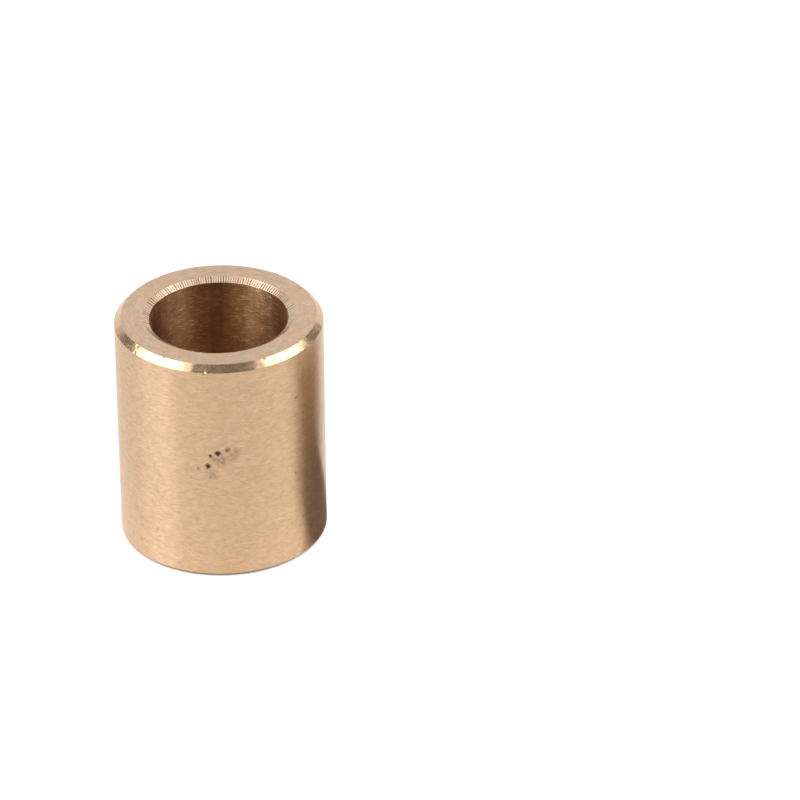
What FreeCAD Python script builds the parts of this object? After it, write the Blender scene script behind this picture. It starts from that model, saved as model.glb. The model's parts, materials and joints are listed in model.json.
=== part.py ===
import FreeCAD, Part
import math
import os
import Sketcher

# A plain sleeve bushing: one ring turned from solid bronze bar, bored through, with
# a chamfer on each outer corner and a shallow countersink at each mouth of the bore.
# It stands on its lower end.  The origin is the centre of that end face, and +Z is
# the axis of the bore.  The upper end has the larger outer chamfer, the lead-in that
# goes first into a housing.

# Driving dimensions in millimetres: alias, value, what it is.
DIMENSIONS = [
    ("bore_diameter", 12.7, "bore, for a 1/2 inch shaft"),
    ("outer_diameter", 19.05, "outside, 3/4 inch, pressed into a housing"),
    ("sleeve_length", 22.225, "length over both end faces, 7/8 inch"),
    ("lead_chamfer", 0.6, "45 degree chamfer on the upper outer corner"),
    ("foot_chamfer", 0.3, "45 degree chamfer on the lower outer corner"),
    ("mouth_width", 0.6, "countersink at each bore mouth, across the end face"),
    ("mouth_depth", 0.35, "countersink at each bore mouth, down the bore"),
]
SHEET = "Dimensions"
NODE = "bushing_sleeve"
LENGTH_TOLERANCE = 1e-6
VOLUME_TOLERANCE = 1e-3


def make_sheet(doc):
    """Put the driving dimensions in a spreadsheet, one aliased cell each."""
    sheet = doc.addObject("Spreadsheet::Sheet", SHEET)
    for row, (alias, value, meaning) in enumerate(DIMENSIONS, start=1):
        sheet.set("A%d" % row, alias)
        sheet.set("B%d" % row, str(value))
        sheet.setAlias("B%d" % row, alias)
        sheet.set("C%d" % row, meaning)
    doc.recompute()
    return sheet


def bind(feature, prop, alias):
    """Drive one property of a feature from the sheet."""
    feature.setExpression(prop, "%s.%s" % (SHEET, alias))


def circle_sketch(body, name, diameter_alias, diameter):
    """A circle about the axis, on the plane of the lower end face."""
    plane = next(f for f in body.Origin.OriginFeatures if f.Role == "XY_Plane")
    sketch = body.newObject("Sketcher::SketchObject", name)
    sketch.AttachmentSupport = [(plane, "")]
    sketch.MapMode = "FlatFace"
    centre = FreeCAD.Vector(0, 0, 0)
    axis = FreeCAD.Vector(0, 0, 1)
    circle = sketch.addGeometry(Part.Circle(centre, axis, diameter / 2), False)
    sketch.addConstraint(Sketcher.Constraint("Coincident", circle, 3, -1, 1))
    size = sketch.addConstraint(Sketcher.Constraint("Diameter", circle, diameter))
    sketch.renameConstraint(size, diameter_alias)
    bind(sketch, "Constraints.%s" % diameter_alias, diameter_alias)
    return sketch


def corner(shape, radius, height):
    """Name of the circular edge that has this radius at this height."""
    for number, edge in enumerate(shape.Edges, start=1):
        curve = edge.Curve
        if not isinstance(curve, Part.Circle):
            continue
        same_radius = abs(curve.Radius - radius) < LENGTH_TOLERANCE
        same_height = abs(curve.Center.z - height) < LENGTH_TOLERANCE
        if same_radius and same_height:
            return "Edge%d" % number
    raise RuntimeError("no corner of radius %g at height %g" % (radius, height))


def cut_corner(body, name, radius, height, across_alias, along_alias, flipped):
    """Turn one circular corner off: across the end face, and along the wall.

    An edge lists its two faces in either order, so flipped says that the wall comes first.
    """
    base = body.Tip
    chamfer = body.newObject("PartDesign::Chamfer", name)
    chamfer.Base = (base, [corner(base.Shape, radius, height)])
    if across_alias == along_alias:
        chamfer.ChamferType = "Equal distance"
        bind(chamfer, "Size", across_alias)
    else:
        chamfer.ChamferType = "Two distances"
        bind(chamfer, "Size", across_alias)
        bind(chamfer, "Size2", along_alias)
        chamfer.FlipDirection = flipped
    body.Document.recompute()
    return chamfer


def ring_volume(inner, outer, length):
    """Volume of a plain ring."""
    return math.pi * (outer**2 - inner**2) * length


def corner_volume(radius, inward, across, along):
    """Volume of the three-sided ring that a chamfer takes off, by Pappus."""
    centroid = radius + inward * across / 3
    return 2 * math.pi * centroid * across * along / 2


def expect_volume(body, volume, what):
    """Stop if the solid isn't the one that its dimensions give."""
    found = body.Tip.Shape.Volume
    if abs(found - volume) > VOLUME_TOLERANCE:
        raise RuntimeError("%s: volume %g mm3, should be %g" % (what, found, volume))


def make_bushing(doc, sheet):
    """Turn the sleeve: blank, bore, outer chamfers, then the two bore mouths."""
    bore_radius = sheet.bore_diameter / 2
    outer_radius = sheet.outer_diameter / 2
    top = sheet.sleeve_length

    body = doc.addObject("PartDesign::Body", "Bushing")
    body.Label = NODE
    body.Placement = FreeCAD.Placement(FreeCAD.Vector(0, 0, 0), FreeCAD.Rotation())

    blank_sketch = circle_sketch(body, "BlankSketch", "outer_diameter", sheet.outer_diameter)
    blank = body.newObject("PartDesign::Pad", "Blank")
    blank.Profile = blank_sketch
    bind(blank, "Length", "sleeve_length")
    doc.recompute()
    volume = ring_volume(0, outer_radius, top)
    expect_volume(body, volume, "blank")

    bore_sketch = circle_sketch(body, "BoreSketch", "bore_diameter", sheet.bore_diameter)
    bore = body.newObject("PartDesign::Pocket", "Bore")
    bore.Profile = bore_sketch
    bore.Type = "ThroughAll"
    bore.Reversed = True
    doc.recompute()
    volume = ring_volume(bore_radius, outer_radius, top)
    expect_volume(body, volume, "bore")

    # name, corner radius, height, way to the metal along the radius, sizes, flipped
    corners = [
        ("LeadChamfer", outer_radius, top, -1, "lead_chamfer", "lead_chamfer", False),
        ("FootChamfer", outer_radius, 0, -1, "foot_chamfer", "foot_chamfer", False),
        ("UpperMouth", bore_radius, top, 1, "mouth_width", "mouth_depth", False),
        ("LowerMouth", bore_radius, 0, 1, "mouth_width", "mouth_depth", True),
    ]
    for name, radius, height, inward, across, along, flipped in corners:
        cut_corner(body, name, radius, height, across, along, flipped)
        volume -= corner_volume(radius, inward, getattr(sheet, across), getattr(sheet, along))
        expect_volume(body, volume, name)
    return body


def check(doc, parts):
    """Stop on any failed object, and on any sub-part that isn't one valid solid."""
    for obj in doc.Objects:
        if "Invalid" in obj.State or "Error" in obj.State:
            raise RuntimeError("%s failed: %s" % (obj.Name, obj.State))
    for part in parts:
        shape = part.Shape
        if shape.isNull() or not shape.isValid() or len(shape.Solids) != 1:
            raise RuntimeError("%s is not one valid solid" % part.Label)


def main():
    doc = FreeCAD.newDocument("SleeveBushing")
    sheet = make_sheet(doc)
    parts = [make_bushing(doc, sheet)]
    doc.recompute()
    check(doc, parts)
    os.makedirs("parts", exist_ok=True)
    for part in parts:
        part.Shape.exportStep("parts/%s.step" % part.Label)
        box = part.Shape.BoundBox
        print("%s: %.4f mm3, %.3f x %.3f x %.3f mm, from z = %.3f" % (
            part.Label, part.Shape.Volume, box.XLength, box.YLength, box.ZLength, box.ZMin))


main()
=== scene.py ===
import json
import math

import bpy
import numpy as np
from mathutils import Matrix, Vector


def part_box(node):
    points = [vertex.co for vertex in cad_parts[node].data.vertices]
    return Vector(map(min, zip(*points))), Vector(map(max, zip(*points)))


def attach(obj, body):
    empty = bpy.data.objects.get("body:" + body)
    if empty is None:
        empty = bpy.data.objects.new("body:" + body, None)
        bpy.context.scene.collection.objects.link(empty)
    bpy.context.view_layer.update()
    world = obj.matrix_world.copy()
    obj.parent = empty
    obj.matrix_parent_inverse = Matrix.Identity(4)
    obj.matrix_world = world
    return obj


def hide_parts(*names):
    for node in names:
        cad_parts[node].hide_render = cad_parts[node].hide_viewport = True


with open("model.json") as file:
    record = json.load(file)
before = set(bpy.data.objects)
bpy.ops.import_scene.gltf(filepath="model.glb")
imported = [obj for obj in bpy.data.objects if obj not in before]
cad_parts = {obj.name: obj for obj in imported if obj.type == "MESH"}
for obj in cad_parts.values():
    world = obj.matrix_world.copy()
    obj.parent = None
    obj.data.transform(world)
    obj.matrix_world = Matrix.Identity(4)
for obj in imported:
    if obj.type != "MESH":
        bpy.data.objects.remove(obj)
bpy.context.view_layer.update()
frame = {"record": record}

# One bronze sleeve bushing, turned from bar and bored through, standing on a pale floor.
# Everything is in metres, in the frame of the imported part: +Z is the axis of the bore.

MM = 0.001
NODE = "bushing_sleeve"
PIECE = "bronze_sleeve"

# Sizes of the sleeve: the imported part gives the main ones.
mounts = {mount["name"]: mount for mount in frame["record"]["mounts"]}
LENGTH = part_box(NODE)[1].z
OUTER_RADIUS = mounts["outside"]["dims"]["r_mm"] * MM
BORE_RADIUS = mounts["bore"]["dims"]["r_mm"] * MM
MOUTH_DEPTH = (LENGTH - mounts["bore"]["dims"]["length_mm"] * MM) / 2
MOUTH_WIDTH = 0.6 * MM
LEAD_CHAMFER = 0.6 * MM
FOOT_CHAMFER = LENGTH - mounts["outside"]["dims"]["length_mm"] * MM - LEAD_CHAMFER

# The mesh: columns around the axis, and the small round that deburring leaves on each corner.
COLUMNS = 1080
EDGE_ROUND = 0.035 * MM
ROUND_ROWS = 3
# rows this far from each round keep the flats flat
HOLD = 0.02 * MM
# extra rows beside the corners that carry dents
DENT_ROWS = 5
DENT_STEP = 0.06 * MM

# Chatter that the countersink left in the bore mouths, and how far its grooves wander.
CHATTER_RIDGES = 150
CHATTER_BUNCHING = 0.25
CHATTER_WANDER = 0.22
CHATTER_DEPTH = 0.012 * MM

# Small dents in the corners of the lead-in chamfer: angle in degrees, whether on its
# upper or lower corner, half width and depth in millimetres.
DENTS = [
    (-143, "upper", 0.20, 0.070), (-142, "lower", 0.18, 0.070), (-122, "upper", 0.14, 0.045),
    (-97, "lower", 0.20, 0.080), (-93.5, "lower", 0.11, 0.045), (-62, "upper", 0.16, 0.055),
    (-108, "upper", 0.06, 0.020), (-75, "lower", 0.06, 0.020), (-38, "lower", 0.10, 0.035),
    (12, "upper", 0.10, 0.040), (47, "lower", 0.12, 0.045), (96, "upper", 0.08, 0.030),
    (131, "lower", 0.13, 0.045), (168, "upper", 0.09, 0.035),
]

# Dark specks in the outside: angle in degrees, height and radius in
# millimetres, strength, and how soft the rim is.
SPECKS = [
    (-90.5, 13.20, 0.25, 0.92, 0.4), (-96.1, 11.83, 0.24, 0.92, 0.4),
    (-94.6, 12.93, 0.16, 0.75, 0.3), (-85.2, 13.56, 0.22, 0.50, 0.6),
    (-101.5, 11.55, 0.15, 0.55, 0.4), (-80.4, 13.32, 0.32, 0.28, 0.8),
    (-94.8, 10.68, 0.18, 0.35, 0.6), (-92.4, 12.55, 0.18, 0.35, 0.7),
    (-127.7, 3.96, 0.12, 0.30, 0.4), (-140.9, 1.92, 0.12, 0.28, 0.4),
    (-42.6, 17.2, 0.12, 0.45, 0.4), (-44.2, 9.3, 0.14, 0.45, 0.4),
    (24.0, 7.4, 0.16, 0.60, 0.4), (71.0, 14.8, 0.20, 0.70, 0.4),
    (75.0, 14.1, 0.12, 0.50, 0.4), (133.0, 9.1, 0.15, 0.55, 0.4),
]
# Smudges: angle in degrees, height and radius in millimetres, and strength.
SMUDGES = [
    (-89.2, 12.4, 0.95, 0.42), (-94.2, 11.1, 0.80, 0.30), (-83.4, 12.7, 0.80, 0.28),
    (72.0, 13.6, 1.1, 0.25), (150.0, 17.0, 1.4, 0.15),
]

# Colours of the metal's surfaces, of what has dried on them, and of the painted shade at the
# chamfer's foot.
PEACH = (0.69, 0.460, 0.280)
OLIVE = (0.66, 0.455, 0.26)
PINK = (0.71, 0.460, 0.308)
FACED = (0.65, 0.465, 0.335)
BORED = (0.61, 0.355, 0.175)
BORED_DARK = (0.54, 0.315, 0.155)
STAIN = (0.08, 0.045, 0.03)
TARNISH = (0.45, 0.27, 0.13)
# painted shade: the dark brown that the chamfer takes on at its foot, next to the floor
FOOT_SHADE = (0.38, 0.20, 0.09)

# Turned surfaces mirror in a streak across the tool's path: a quarter turn from the tangent.
BRUSHED_ACROSS = 0.25


# ---------------------------------------------------------------- the profile

def spaced(steps, length, dented):
    """Places along a flat stretch, from 0 to 1, closer together at the ends with dents."""
    even = np.linspace(0.0, 1.0, steps + 1)[1:-1]
    shares = [0.0, HOLD / length, *even, 1.0 - HOLD / length, 1.0]
    near = np.arange(1, DENT_ROWS + 1) * DENT_STEP / length
    if "start" in dented:
        shares.extend(near)
    if "end" in dented:
        shares.extend(1.0 - near)
    return np.unique(shares)


def profile():
    """The closed outline in radius and height, anticlockwise from the foot of the outside.

    Returns the points, the outward normals and the surface that each step belongs to.
    """
    corners = [
        (OUTER_RADIUS - FOOT_CHAMFER, 0.0),
        (OUTER_RADIUS, FOOT_CHAMFER),
        (OUTER_RADIUS, LENGTH - LEAD_CHAMFER),
        (OUTER_RADIUS - LEAD_CHAMFER, LENGTH),
        (BORE_RADIUS + MOUTH_WIDTH, LENGTH),
        (BORE_RADIUS, LENGTH - MOUTH_DEPTH),
        (BORE_RADIUS, MOUTH_DEPTH),
        (BORE_RADIUS + MOUTH_WIDTH, 0.0),
    ]
    # surface after each corner, the number of steps along it, and which ends carry dents
    stretches = [
        ("chamfer", 2, ""), ("outside", 4, "end"), ("chamfer", 10, ""), ("face", 3, "start"),
        ("mouth", 5, ""), ("bore", 4, ""), ("mouth", 5, ""), ("face", 3, ""),
    ]
    points = []
    normals = []
    surfaces = []
    count = len(corners)
    for index, (surface, steps, dented) in enumerate(stretches):
        start = np.array(corners[index])
        end = np.array(corners[(index + 1) % count])
        after = np.array(corners[(index + 2) % count])
        along = (end - start) / np.linalg.norm(end - start)
        turned = (after - end) / np.linalg.norm(after - end)
        before = start - np.array(corners[index - 1])
        before /= np.linalg.norm(before)
        # the round takes this much off each end of the stretch
        start_cut = EDGE_ROUND * math.tan(math.acos(float(before @ along)) / 2)
        turn = math.acos(float(along @ turned))
        end_cut = EDGE_ROUND * math.tan(turn / 2)
        flat_start = start + along * start_cut
        flat = (end - along * end_cut) - flat_start
        length = np.linalg.norm(flat)
        normal = np.array([along[1], -along[0]])
        for share in spaced(steps, length, dented):
            points.append(flat_start + flat * share)
            normals.append(normal)
            surfaces.append(surface)
        # the round itself, about a centre inside the metal
        centre = flat_start + flat - normal * EDGE_ROUND
        for step in range(1, ROUND_ROWS):
            angle = turn * step / ROUND_ROWS
            swung = normal * math.cos(angle) + along * math.sin(angle)
            points.append(centre + swung * EDGE_ROUND)
            normals.append(swung)
            surfaces.append(surface)
    return np.array(points), np.array(normals), surfaces


# ---------------------------------------------------------------- marks cut in the metal

def ripple(angle, random, waves, lowest, highest):
    """A smooth, seeded, periodic function of the angle, between about -1 and 1."""
    total = np.zeros_like(angle)
    for _ in range(waves):
        frequency = random.integers(lowest, highest)
        total += np.sin(frequency * angle + random.uniform(0, 2 * math.pi))
    return total / math.sqrt(waves)


def chatter(angle, across, random):
    """The grooves in a countersink, 0 to 1 deep: across runs from 0 to 1 over its width."""
    # closer together at the front and back than at the sides, and a little irregular
    bunched = angle - CHATTER_BUNCHING / 2 * np.sin(2 * angle)
    turns = CHATTER_RIDGES * bunched / (2 * math.pi)
    turns += CHATTER_WANDER * ripple(angle, random, 5, 3, 17)
    scallop = np.round(turns).astype(int) % CHATTER_RIDGES
    strength = random.uniform(0.5, 1.0, CHATTER_RIDGES)[scallop]
    window = np.clip(np.minimum(across, 1 - across) / 0.05, 0, 1)
    cut = 0.5 + 0.5 * np.cos(2 * math.pi * turns)
    return np.outer(window, cut * strength)


def dents(points, angle):
    """Depth of the small dents in the corners of the lead-in chamfer."""
    corner = {
        "upper": np.array([OUTER_RADIUS - LEAD_CHAMFER, LENGTH]),
        "lower": np.array([OUTER_RADIUS, LENGTH - LEAD_CHAMFER]),
    }
    depth = np.zeros((len(points), len(angle)))
    for degrees, which, half_width, deep in DENTS:
        away = np.linalg.norm(points - corner[which], axis=1)
        swing = (angle - math.radians(degrees) + math.pi) % (2 * math.pi) - math.pi
        reach = np.hypot(away[:, None], swing[None, :] * OUTER_RADIUS) / (half_width * MM)
        depth -= deep * MM * np.clip(1 - reach**2, 0, 1)
    return depth


def build_sleeve():
    """The sleeve as one closed mesh, with a strip map of its surface for baking."""
    random = np.random.default_rng(11)
    points, normals, surfaces = profile()
    rows = len(points)
    angle = np.arange(COLUMNS) * 2 * math.pi / COLUMNS
    scallops = np.zeros((rows, COLUMNS))
    names = np.array(surfaces)
    for upper in (True, False):
        half = points[:, 1] > LENGTH / 2
        chosen = np.flatnonzero((names == "mouth") & (half == upper))
        across = (points[chosen, 0] - BORE_RADIUS) / MOUTH_WIDTH
        scallops[chosen] = chatter(angle, across, random)
    relief = dents(points, angle) - CHATTER_DEPTH * scallops

    radius = points[:, 0:1] + relief * normals[:, 0:1]
    height = points[:, 1:2] + relief * normals[:, 1:2]
    place = np.empty((rows, COLUMNS, 3))
    place[:, :, 0] = radius * np.cos(angle)
    place[:, :, 1] = radius * np.sin(angle)
    place[:, :, 2] = height

    row = np.repeat(np.arange(rows), COLUMNS)
    column = np.tile(np.arange(COLUMNS), rows)
    next_row = (row + 1) % rows
    next_column = (column + 1) % COLUMNS
    faces = np.stack([
        row * COLUMNS + column,
        row * COLUMNS + next_column,
        next_row * COLUMNS + next_column,
        next_row * COLUMNS + column,
    ], axis=1)

    mesh = bpy.data.meshes.new(PIECE)
    mesh.from_pydata(place.reshape(-1, 3).tolist(), [], faces.tolist())

    # strip map: around the axis one way, along the outline the other
    steps = np.linalg.norm(np.roll(points, -1, axis=0) - points, axis=1)
    run = np.concatenate([[0.0], np.cumsum(steps)]) / steps.sum()
    u_low, u_high = column / COLUMNS, (column + 1) / COLUMNS
    v_low, v_high = run[row], run[row + 1]
    strip = np.stack([u_low, v_low, u_high, v_low, u_high, v_high, u_low, v_high], axis=1)
    layer = mesh.uv_layers.new(name="OFBake")
    layer.uv.foreach_set("vector", strip.astype(np.float32).ravel())
    depth = mesh.attributes.new("scallop", "FLOAT", "POINT")
    depth.data.foreach_set("value", scallops.astype(np.float32).ravel())

    kinds = ["outside", "chamfer", "face", "mouth", "bore"]
    index = np.array([kinds.index(surface) for surface in surfaces])
    mesh.polygons.foreach_set("material_index", index[row].astype(np.int32))
    mesh.polygons.foreach_set("use_smooth", np.ones(rows * COLUMNS, dtype=bool))
    for kind in kinds:
        mesh.materials.append(FINISHES[kind]())
    mesh.validate()
    mesh.update()
    sleeve = bpy.data.objects.new(PIECE, mesh)
    bpy.context.scene.collection.objects.link(sleeve)
    return sleeve


# ---------------------------------------------------------------- the finishes

def add(tree, kind, inputs=None, **settings):
    """A node with these settings, its inputs set to values or linked to sockets."""
    made = tree.nodes.new(kind)
    for name, value in settings.items():
        setattr(made, name, value)
    for name, value in (inputs or {}).items():
        socket = made.inputs[name]
        if isinstance(value, bpy.types.NodeSocket):
            tree.links.new(value, socket)
        else:
            socket.default_value = value
    return made


def calculate(tree, operation, *values):
    """One step of arithmetic on numbers or sockets."""
    made = add(tree, "ShaderNodeMath", dict(enumerate(values)), operation=operation)
    return made.outputs["Value"]


def weighed(tree, first, first_share, second, second_share):
    """The sum of two sockets, each times its share."""
    return calculate(tree, "ADD", calculate(tree, "MULTIPLY", first, first_share),
                     calculate(tree, "MULTIPLY", second, second_share))


def place_in_mm(tree):
    """The point's x, y and z in millimetres, and its distance from the axis."""
    place = add(tree, "ShaderNodeTexCoord").outputs["Object"]
    scaled = add(tree, "ShaderNodeVectorMath", {0: place, "Scale": 1 / MM}, operation="SCALE")
    axes = add(tree, "ShaderNodeSeparateXYZ", {"Vector": scaled.outputs["Vector"]}).outputs
    x_squared = calculate(tree, "MULTIPLY", axes["X"], axes["X"])
    y_squared = calculate(tree, "MULTIPLY", axes["Y"], axes["Y"])
    radius = calculate(tree, "SQRT", calculate(tree, "ADD", x_squared, y_squared))
    return axes["X"], axes["Y"], axes["Z"], radius


def turned_noise(tree, place, around, across, by_height, by_radius, detail=2.0):
    """Noise drawn out along the tool's path: slow around the axis and fine across it."""
    x, y, z, radius = place
    cosine = calculate(tree, "DIVIDE", x, radius)
    sine = calculate(tree, "DIVIDE", y, radius)
    over = calculate(tree, "ADD", calculate(tree, "MULTIPLY", z, by_height * across),
                     calculate(tree, "MULTIPLY", radius, by_radius * across))
    joined = add(tree, "ShaderNodeCombineXYZ", {
        "X": calculate(tree, "MULTIPLY", cosine, around),
        "Y": calculate(tree, "MULTIPLY", sine, around),
        "Z": over,
    })
    noise = add(tree, "ShaderNodeTexNoise", {
        "Vector": joined.outputs["Vector"], "Scale": 1.0, "Detail": detail, "Roughness": 0.6,
    })
    return noise.outputs["Fac"]


def cloud_noise(tree, place, scale, detail=3.0):
    """Plain noise, with this many features to the millimetre."""
    x, y, z, _ = place
    joined = add(tree, "ShaderNodeCombineXYZ", {"X": x, "Y": y, "Z": z})
    noise = add(tree, "ShaderNodeTexNoise", {
        "Vector": joined.outputs["Vector"], "Scale": scale, "Detail": detail, "Roughness": 0.55,
    })
    return noise.outputs["Fac"]


def between(tree, value, low, high, to_low, to_high):
    """Map a range of a socket's value onto another range, held at its ends."""
    made = add(tree, "ShaderNodeMapRange", {
        "Value": value, "From Min": low, "From Max": high, "To Min": to_low, "To Max": to_high,
    })
    return made.outputs["Result"]


def blend_colours(tree, share, first, second, blend_type="MIX"):
    """Mix two colours, each a socket or red, green and blue."""
    made = add(tree, "ShaderNodeMix", data_type="RGBA", blend_type=blend_type)
    # of the node's inputs, 0 is the share, and 6 and 7 are the two colours
    for index, value in ((0, share), (6, first), (7, second)):
        socket = made.inputs[index]
        if isinstance(value, bpy.types.NodeSocket):
            tree.links.new(value, socket)
        elif isinstance(value, tuple):
            socket.default_value = (*value, 1.0)
        else:
            socket.default_value = value
    return made.outputs[2]


def darken(tree, colour, factor):
    """Multiply a colour by a number."""
    grey = add(tree, "ShaderNodeCombineColor", {"Red": factor, "Green": factor, "Blue": factor})
    return blend_colours(tree, 1.0, colour, grey.outputs["Color"], "MULTIPLY")


def bronze_colour(tree, place, base=PEACH):
    """Bearing bronze: peach, with faint olive and pink clouds and small blotches."""
    clouds = cloud_noise(tree, place, 0.35)
    tint = blend_colours(tree, between(tree, clouds, 0.42, 0.65, 0.0, 0.6), base, OLIVE)
    blush = cloud_noise(tree, place, 0.9)
    tint = blend_colours(tree, between(tree, blush, 0.5, 0.7, 0.0, 0.6), tint, PINK)
    blotches = turned_noise(tree, place, 9.0, 2.2, 1.0, 1.0)
    return darken(tree, tint, between(tree, blotches, 0.35, 0.65, 0.93, 1.05))


def distance_to(tree, place, degrees, height):
    """Distance in millimetres from a spot on the outside."""
    x, y, z, _ = place
    here = add(tree, "ShaderNodeCombineXYZ", {"X": x, "Y": y, "Z": z}).outputs["Vector"]
    angle, radius = math.radians(degrees), OUTER_RADIUS / MM
    spot = (radius * math.cos(angle), radius * math.sin(angle), height)
    gap = add(tree, "ShaderNodeVectorMath", {0: here, 1: spot}, operation="DISTANCE")
    return gap.outputs["Value"]


def specks(tree, place):
    """How dark the surface is for its specks and smudges, from 0 to 1."""
    ragged = between(tree, cloud_noise(tree, place, 7.0, 2.0), 0.3, 0.7, -0.09, 0.09)
    dark = 0.0
    for degrees, height, radius, strength, soft in SPECKS:
        gap = calculate(tree, "ADD", distance_to(tree, place, degrees, height), ragged)
        spot = between(tree, gap, radius * (1 - soft), radius * (1 + soft), strength, 0.0)
        dark = calculate(tree, "MAXIMUM", dark, spot)
    patches = cloud_noise(tree, place, 3.5)
    for degrees, height, radius, strength in SMUDGES:
        gap = distance_to(tree, place, degrees, height)
        patchy = between(tree, patches, 0.40, 0.62, 0.1 * strength, strength)
        reach = between(tree, gap, radius * 0.4, radius, 1.0, 0.0)
        dark = calculate(tree, "MAXIMUM", dark, calculate(tree, "MULTIPLY", reach, patchy))
    return dark


def bump(tree, height, strength, distance):
    """A normal from a height in the range 0 to 1 that stands for this distance in metres."""
    made = add(tree, "ShaderNodeBump", {
        "Height": height, "Strength": strength, "Distance": distance,
    })
    return made.outputs["Normal"]


def finish(material, colour, roughness, normal, brushed=0.0):
    """Give the material bronze with this colour, roughness, relief and strength of brushing."""
    tree = material.node_tree
    shader = add(tree, "ShaderNodeBsdfPrincipled", {
        "Base Color": colour, "Metallic": 1.0, "Roughness": roughness, "Normal": normal,
    })
    if brushed:
        shader.inputs["Anisotropic"].default_value = brushed
        shader.inputs["Anisotropic Rotation"].default_value = BRUSHED_ACROSS
        tangent = add(tree, "ShaderNodeTangent", direction_type="RADIAL", axis="Z")
        tree.links.new(tangent.outputs["Tangent"], shader.inputs["Tangent"])
    output = add(tree, "ShaderNodeOutputMaterial")
    tree.links.new(shader.outputs["BSDF"], output.inputs["Surface"])
    return material


def blank_material(name):
    material = bpy.data.materials.new(name)
    material.use_nodes = True
    material.node_tree.nodes.clear()
    return material, material.node_tree


def outside_finish():
    """Fine-turned outside: satin, with a grain around the axis."""
    material, tree = blank_material("bronze_outside")
    place = place_in_mm(tree)
    grain = turned_noise(tree, place, 18.0, 17.0, 1.0, 0.0)
    streaks = turned_noise(tree, place, 14.0, 8.0, 1.0, 0.0)
    both = weighed(tree, grain, 0.7, streaks, 0.3)
    colour = darken(tree, bronze_colour(tree, place), between(tree, both, 0.38, 0.62, 0.87, 1.09))
    rubs = calculate(tree, "MAXIMUM", slanted_scratches(tree, place, 5.0, 12.0, 9.0),
                     slanted_scratches(tree, place, -7.0, 16.0, 9.0))
    colour = darken(tree, colour, between(tree, rubs, 0.60, 0.76, 1.0, 0.88))
    dots = cloud_noise(tree, place, 1.9, 2.0)
    colour = blend_colours(tree, between(tree, dots, 0.60, 0.76, 0.0, 0.4), colour, TARNISH)
    stain = specks(tree, place)
    colour = blend_colours(tree, stain, colour, STAIN)
    worn = between(tree, both, 0.35, 0.65, 0.30, 0.37)
    roughness = calculate(tree, "ADD", worn, calculate(tree, "MULTIPLY", stain, 0.3))
    height = calculate(tree, "SUBTRACT", both, stain)
    normal = bump(tree, height, 0.5, 0.010 * MM)
    return finish(material, colour, roughness, normal, brushed=0.85)


def chamfer_finish():
    """Chamfer cut by a sharp tool: the brightest surface, darkened at the foot with painted shade
    where it meets the floor.
    """
    material, tree = blank_material("bronze_chamfer")
    place = place_in_mm(tree)
    grain = turned_noise(tree, place, 14.0, 9.0, 0.5, -0.5)
    # painted shade: the colour turns to the dark brown towards the foot, fully below 0.25 mm and
    # not at all above 0.45 mm
    foot_shade = between(tree, place[2], 0.25, 0.45, 1.0, 0.0)
    colour = blend_colours(tree, foot_shade, bronze_colour(tree, place), FOOT_SHADE)
    roughness = between(tree, grain, 0.3, 0.7, 0.22, 0.32)
    waves = cloud_noise(tree, place, 1.1, 0.0)
    normal = bump(tree, weighed(tree, waves, 8.0, grain, 0.6), 0.6, 0.008 * MM)
    return finish(material, colour, roughness, normal, brushed=0.4)


def face_finish():
    """Faced-off end: matte, with faint rings."""
    material, tree = blank_material("bronze_face")
    place = place_in_mm(tree)
    rings = turned_noise(tree, place, 1.0, 4.0, 0.0, 1.0)
    grain = turned_noise(tree, place, 24.0, 15.0, 0.0, 1.0)
    both = weighed(tree, grain, 0.7, rings, 0.3)
    base = bronze_colour(tree, place, FACED)
    colour = darken(tree, base, between(tree, both, 0.38, 0.62, 0.85, 1.11))
    roughness = between(tree, both, 0.35, 0.65, 0.42, 0.52)
    normal = bump(tree, both, 0.5, 0.012 * MM)
    return finish(material, colour, roughness, normal, brushed=0.4)


def mouth_finish():
    """Countersink: its colour is lightened on the crests of its chatter as painted highlight and
    darkened in the scallops as painted shade; the scallops are also rougher.
    """
    material, tree = blank_material("bronze_mouth")
    place = place_in_mm(tree)
    grain = turned_noise(tree, place, 8.0, 8.0, 1.0, 0.3)
    scallop = add(tree, "ShaderNodeAttribute", attribute_name="scallop").outputs["Fac"]
    base = bronze_colour(tree, place, FACED)
    # painted highlight and shade: colour up to 1.16 times on the crests and down to 0.42 times in
    # the deepest scallops
    colour = darken(tree, base, between(tree, scallop, 0.15, 0.75, 1.16, 0.42))
    worn = between(tree, grain, 0.3, 0.7, 0.16, 0.26)
    roughness = calculate(tree, "ADD", worn, between(tree, scallop, 0.0, 1.0, 0.0, 0.12))
    normal = bump(tree, grain, 0.3, 0.004 * MM)
    return finish(material, colour, roughness, normal)


def slanted_scratches(tree, place, slope, around, along):
    """Scratches that climb the wall by this many millimetres to the radian."""
    x, y, z, radius = place
    angle = calculate(tree, "ARCTAN2", y, x)
    climb = calculate(tree, "SUBTRACT", z, calculate(tree, "MULTIPLY", angle, slope))
    joined = add(tree, "ShaderNodeCombineXYZ", {
        "X": calculate(tree, "MULTIPLY", calculate(tree, "DIVIDE", x, radius), around),
        "Y": calculate(tree, "MULTIPLY", calculate(tree, "DIVIDE", y, radius), around),
        "Z": calculate(tree, "MULTIPLY", climb, along),
    })
    noise = add(tree, "ShaderNodeTexNoise", {
        "Vector": joined.outputs["Vector"], "Scale": 1.0, "Detail": 1.0, "Roughness": 0.5,
    })
    return noise.outputs["Fac"]


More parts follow.
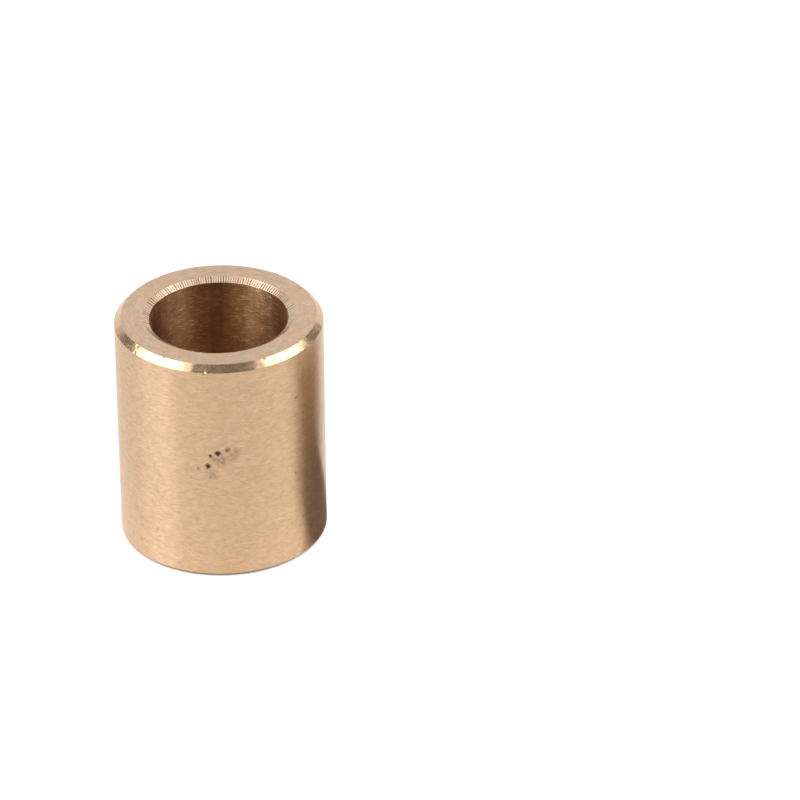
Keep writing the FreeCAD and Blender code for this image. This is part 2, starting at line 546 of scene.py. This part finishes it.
def bore_finish():
    """Bored wall: satin, with slanting scratch marks both ways, lighter along them as painted
    glints.
    """
    material, tree = blank_material("bronze_bore")
    place = place_in_mm(tree)
    rising = slanted_scratches(tree, place, 0.8, 8.0, 19.0)
    falling = slanted_scratches(tree, place, -0.8, 8.0, 19.0)
    scratches_and_glints = calculate(tree, "MAXIMUM", rising, falling)
    grain = turned_noise(tree, place, 22.0, 13.0, 1.0, 0.0)
    clouds = cloud_noise(tree, place, 0.5)
    base = blend_colours(tree, between(tree, clouds, 0.4, 0.6, 0.0, 1.0), BORED, BORED_DARK)
    base = darken(tree, base, between(tree, grain, 0.35, 0.65, 0.92, 1.06))
    # painted glints: along the scratch marks the colour is lightened up to twice
    colour = darken(tree, base, between(tree, scratches_and_glints, 0.60, 0.74, 0.94, 2.0))
    roughness = between(tree, scratches_and_glints, 0.60, 0.76, 0.34, 0.50)
    normal = bump(tree, weighed(tree, scratches_and_glints, 1.0, grain, 0.4), 0.5, 0.012 * MM)
    return finish(material, colour, roughness, normal, brushed=0.95)


FINISHES = {
    "outside": outside_finish,
    "chamfer": chamfer_finish,
    "face": face_finish,
    "mouth": mouth_finish,
    "bore": bore_finish,
}


# ---------------------------------------------------------------- the studio

def direction(azimuth, elevation):
    """Unit vector: azimuth 0 is towards the front, -Y, and it grows towards +X."""
    a, e = math.radians(azimuth), math.radians(elevation)
    return Vector((math.sin(a) * math.cos(e), -math.cos(a) * math.cos(e), math.sin(e)))


def softbox(name, start, end, breadth, radiance, distance=0.6, lights="metal", tint=(1, 1, 1)):
    """A soft light between two directions, for the metal to mirror or for the floor."""
    first = direction(*start) * distance
    last = direction(*end) * distance
    middle, along = (first + last) / 2, last - first
    light = bpy.data.lights.new(name, "AREA")
    light.shape = "RECTANGLE"
    light.size, light.size_y = along.length, breadth
    light.energy = radiance * math.pi * along.length * breadth
    light.color = tint
    lamp = bpy.data.objects.new(name, light)
    aim, side = middle.normalized(), along.normalized()
    turn = Matrix((side, aim.cross(side), aim)).transposed()
    lamp.matrix_world = Matrix.Translation(middle + Vector((0, 0, LENGTH / 2))) @ turn.to_4x4()
    lamp.visible_glossy = lights == "metal"
    lamp.visible_diffuse = lights == "floor"
    bpy.context.scene.collection.objects.link(lamp)


def make_reflection_glow_card():
    """Brown glowing card on the right, flat and upright, seen only where the metal mirrors it: a
    painted reflection of a neighbouring bushing, lighter where that is lit, and painted shadow on
    the floor beside it.
    """
    foot = [(7.6, -6.2, 0.1), (16, -3.6, 0.1), (20, 8, 0.1), (13, 8, 0.1), (9.6, 1.5, 0.1)]
    upright = [(14, -6.7, 0.1), (18.2, 7.0, 0.1), (18.2, 7.0, 18), (14, -6.7, 18)]
    mesh = bpy.data.meshes.new("reflection_glow_card")
    corners = [Vector(point) * MM for point in foot + upright]
    mesh.from_pydata(corners, [], [(0, 1, 2, 3, 4), (5, 6, 7, 8)])
    material, tree = blank_material("card_reflection_glow")
    _, depth, height, _ = place_in_mm(tree)
    # painted light and shadow: the glow is lighter towards the top of the upright, where the
    # neighbouring bushing is lit, and dark low down and on the foot, where it and the floor are
    # shaded; towards the front the card fades to pale
    brown = blend_colours(tree, between(tree, height, 5.0, 16.0, 0.0, 1.0),
                          (0.19, 0.15, 0.12), (0.42, 0.30, 0.20))
    brown = blend_colours(tree, between(tree, depth, -6.7, -3.9, 0.0, 1.0), (0.9, 0.8, 0.68), brown)
    glow = add(tree, "ShaderNodeEmission", {"Color": brown, "Strength": 1.0})
    output = add(tree, "ShaderNodeOutputMaterial")
    tree.links.new(glow.outputs["Emission"], output.inputs["Surface"])
    mesh.materials.append(material)
    card = bpy.data.objects.new("reflection_glow_card", mesh)
    card.visible_camera = False
    card.visible_diffuse = False
    card.visible_shadow = False
    bpy.context.scene.collection.objects.link(card)


def make_floor():
    """A plain pale floor, wide enough to fill any view of the sleeve."""
    half = 3.0
    mesh = bpy.data.meshes.new("floor")
    mesh.from_pydata([(-half, -half, 0), (half, -half, 0), (half, half, 0), (-half, half, 0)],
                     [], [(0, 1, 2, 3)])
    material, tree = blank_material("floor_white")
    # the glow stands for light from all round: none under the sleeve, and a little more
    # beside it, where the sleeve shades the floor
    radius, rim = place_in_mm(tree)[3], OUTER_RADIUS / MM
    open_floor = between(tree, radius, rim - 0.40, rim - 0.03, 0.0, 1.0)
    glow = calculate(tree, "MULTIPLY", open_floor, between(tree, radius, rim, rim + 15, 0.8, 0.6))
    shader = add(tree, "ShaderNodeBsdfPrincipled", {
        "Base Color": (0.6, 0.6, 0.6, 1.0), "Roughness": 0.9, "Specular IOR Level": 0.0,
        "Emission Color": (1.0, 1.0, 1.0, 1.0), "Emission Strength": glow,
    })
    output = add(tree, "ShaderNodeOutputMaterial")
    tree.links.new(shader.outputs["BSDF"], output.inputs["Surface"])
    mesh.materials.append(material)
    floor = bpy.data.objects.new("floor", mesh)
    bpy.context.scene.collection.objects.link(floor)


def make_world():
    """Dim studio all round, and a white surround where the camera sees past the floor."""
    world = bpy.data.worlds.new("studio")
    world.use_nodes = True
    tree = world.node_tree
    tree.nodes.clear()
    path = add(tree, "ShaderNodeLightPath")
    dim = add(tree, "ShaderNodeBackground", {"Color": (0.20, 0.21, 0.21, 1.0), "Strength": 1.0})
    white = add(tree, "ShaderNodeBackground", {"Color": (1.0, 1.0, 1.0, 1.0), "Strength": 1.0})
    mixed = add(tree, "ShaderNodeMixShader", {0: path.outputs["Is Camera Ray"]})
    tree.links.new(dim.outputs["Background"], mixed.inputs[1])
    tree.links.new(white.outputs["Background"], mixed.inputs[2])
    output = add(tree, "ShaderNodeOutputWorld")
    tree.links.new(mixed.outputs["Shader"], output.inputs["Surface"])
    bpy.context.scene.world = world


def make_camera():
    """A long lens, a little over half a metre off, looking down at the sleeve from the front."""
    camera = bpy.data.cameras.new("camera")
    camera.lens = 274.3
    camera.sensor_width = 36.0
    camera.clip_start = 0.01
    camera.clip_end = 20.0
    place = Vector((16.41, -478.21, 302.09)) * MM
    down, roll = math.radians(31.162), math.radians(-0.58)
    right = Vector((1, 0, 0))
    up = Vector((0, math.sin(down), math.cos(down)))
    back = Vector((0, -math.cos(down), math.sin(down)))
    rolled_right = right * math.cos(roll) + up * math.sin(roll)
    rolled_up = up * math.cos(roll) - right * math.sin(roll)
    eye = bpy.data.objects.new("camera", camera)
    turn = Matrix((rolled_right, rolled_up, back)).transposed()
    eye.matrix_world = Matrix.Translation(place) @ turn.to_4x4()
    bpy.context.scene.collection.objects.link(eye)
    bpy.context.scene.camera = eye


sleeve = build_sleeve()
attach(sleeve, "root")
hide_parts(NODE)

make_floor()
make_world()
make_reflection_glow_card()
softbox("softbox_left", (-48, 53), (-103, 31), 0.20, 4.5)
softbox("softbox_left_top", (-80, 64), (-128, 52), 0.14, 2.4)
softbox("window_left", (-44, 27), (-70, 27), 0.20, 3.2)
softbox("strip_left", (-50, 7), (-87, 7), 0.19, 3.2, tint=(0.86, 1.0, 1.22))
softbox("softbox_right", (59, 51), (108, 29), 0.20, 3.8, tint=(1.0, 0.96, 1.04))
softbox("softbox_right_top", (92, 62), (138, 50), 0.14, 2.2)
softbox("window_front", (-36, 27), (-16, 27), 0.20, 1.5)
softbox("window_right", (58, 27), (78, 27), 0.20, 2.4)
softbox("backdrop", (135, 17), (230, 17), 1.2, 0.83, distance=1.4)
softbox("ceiling", (-90, 72), (90, 72), 0.5, 0.9, distance=0.85)
softbox("overhead", (-90, 50), (90, 50), 2.6, 1.4, distance=2.0, lights="floor")
make_camera()
bpy.context.scene.view_settings.view_transform = "Standard"
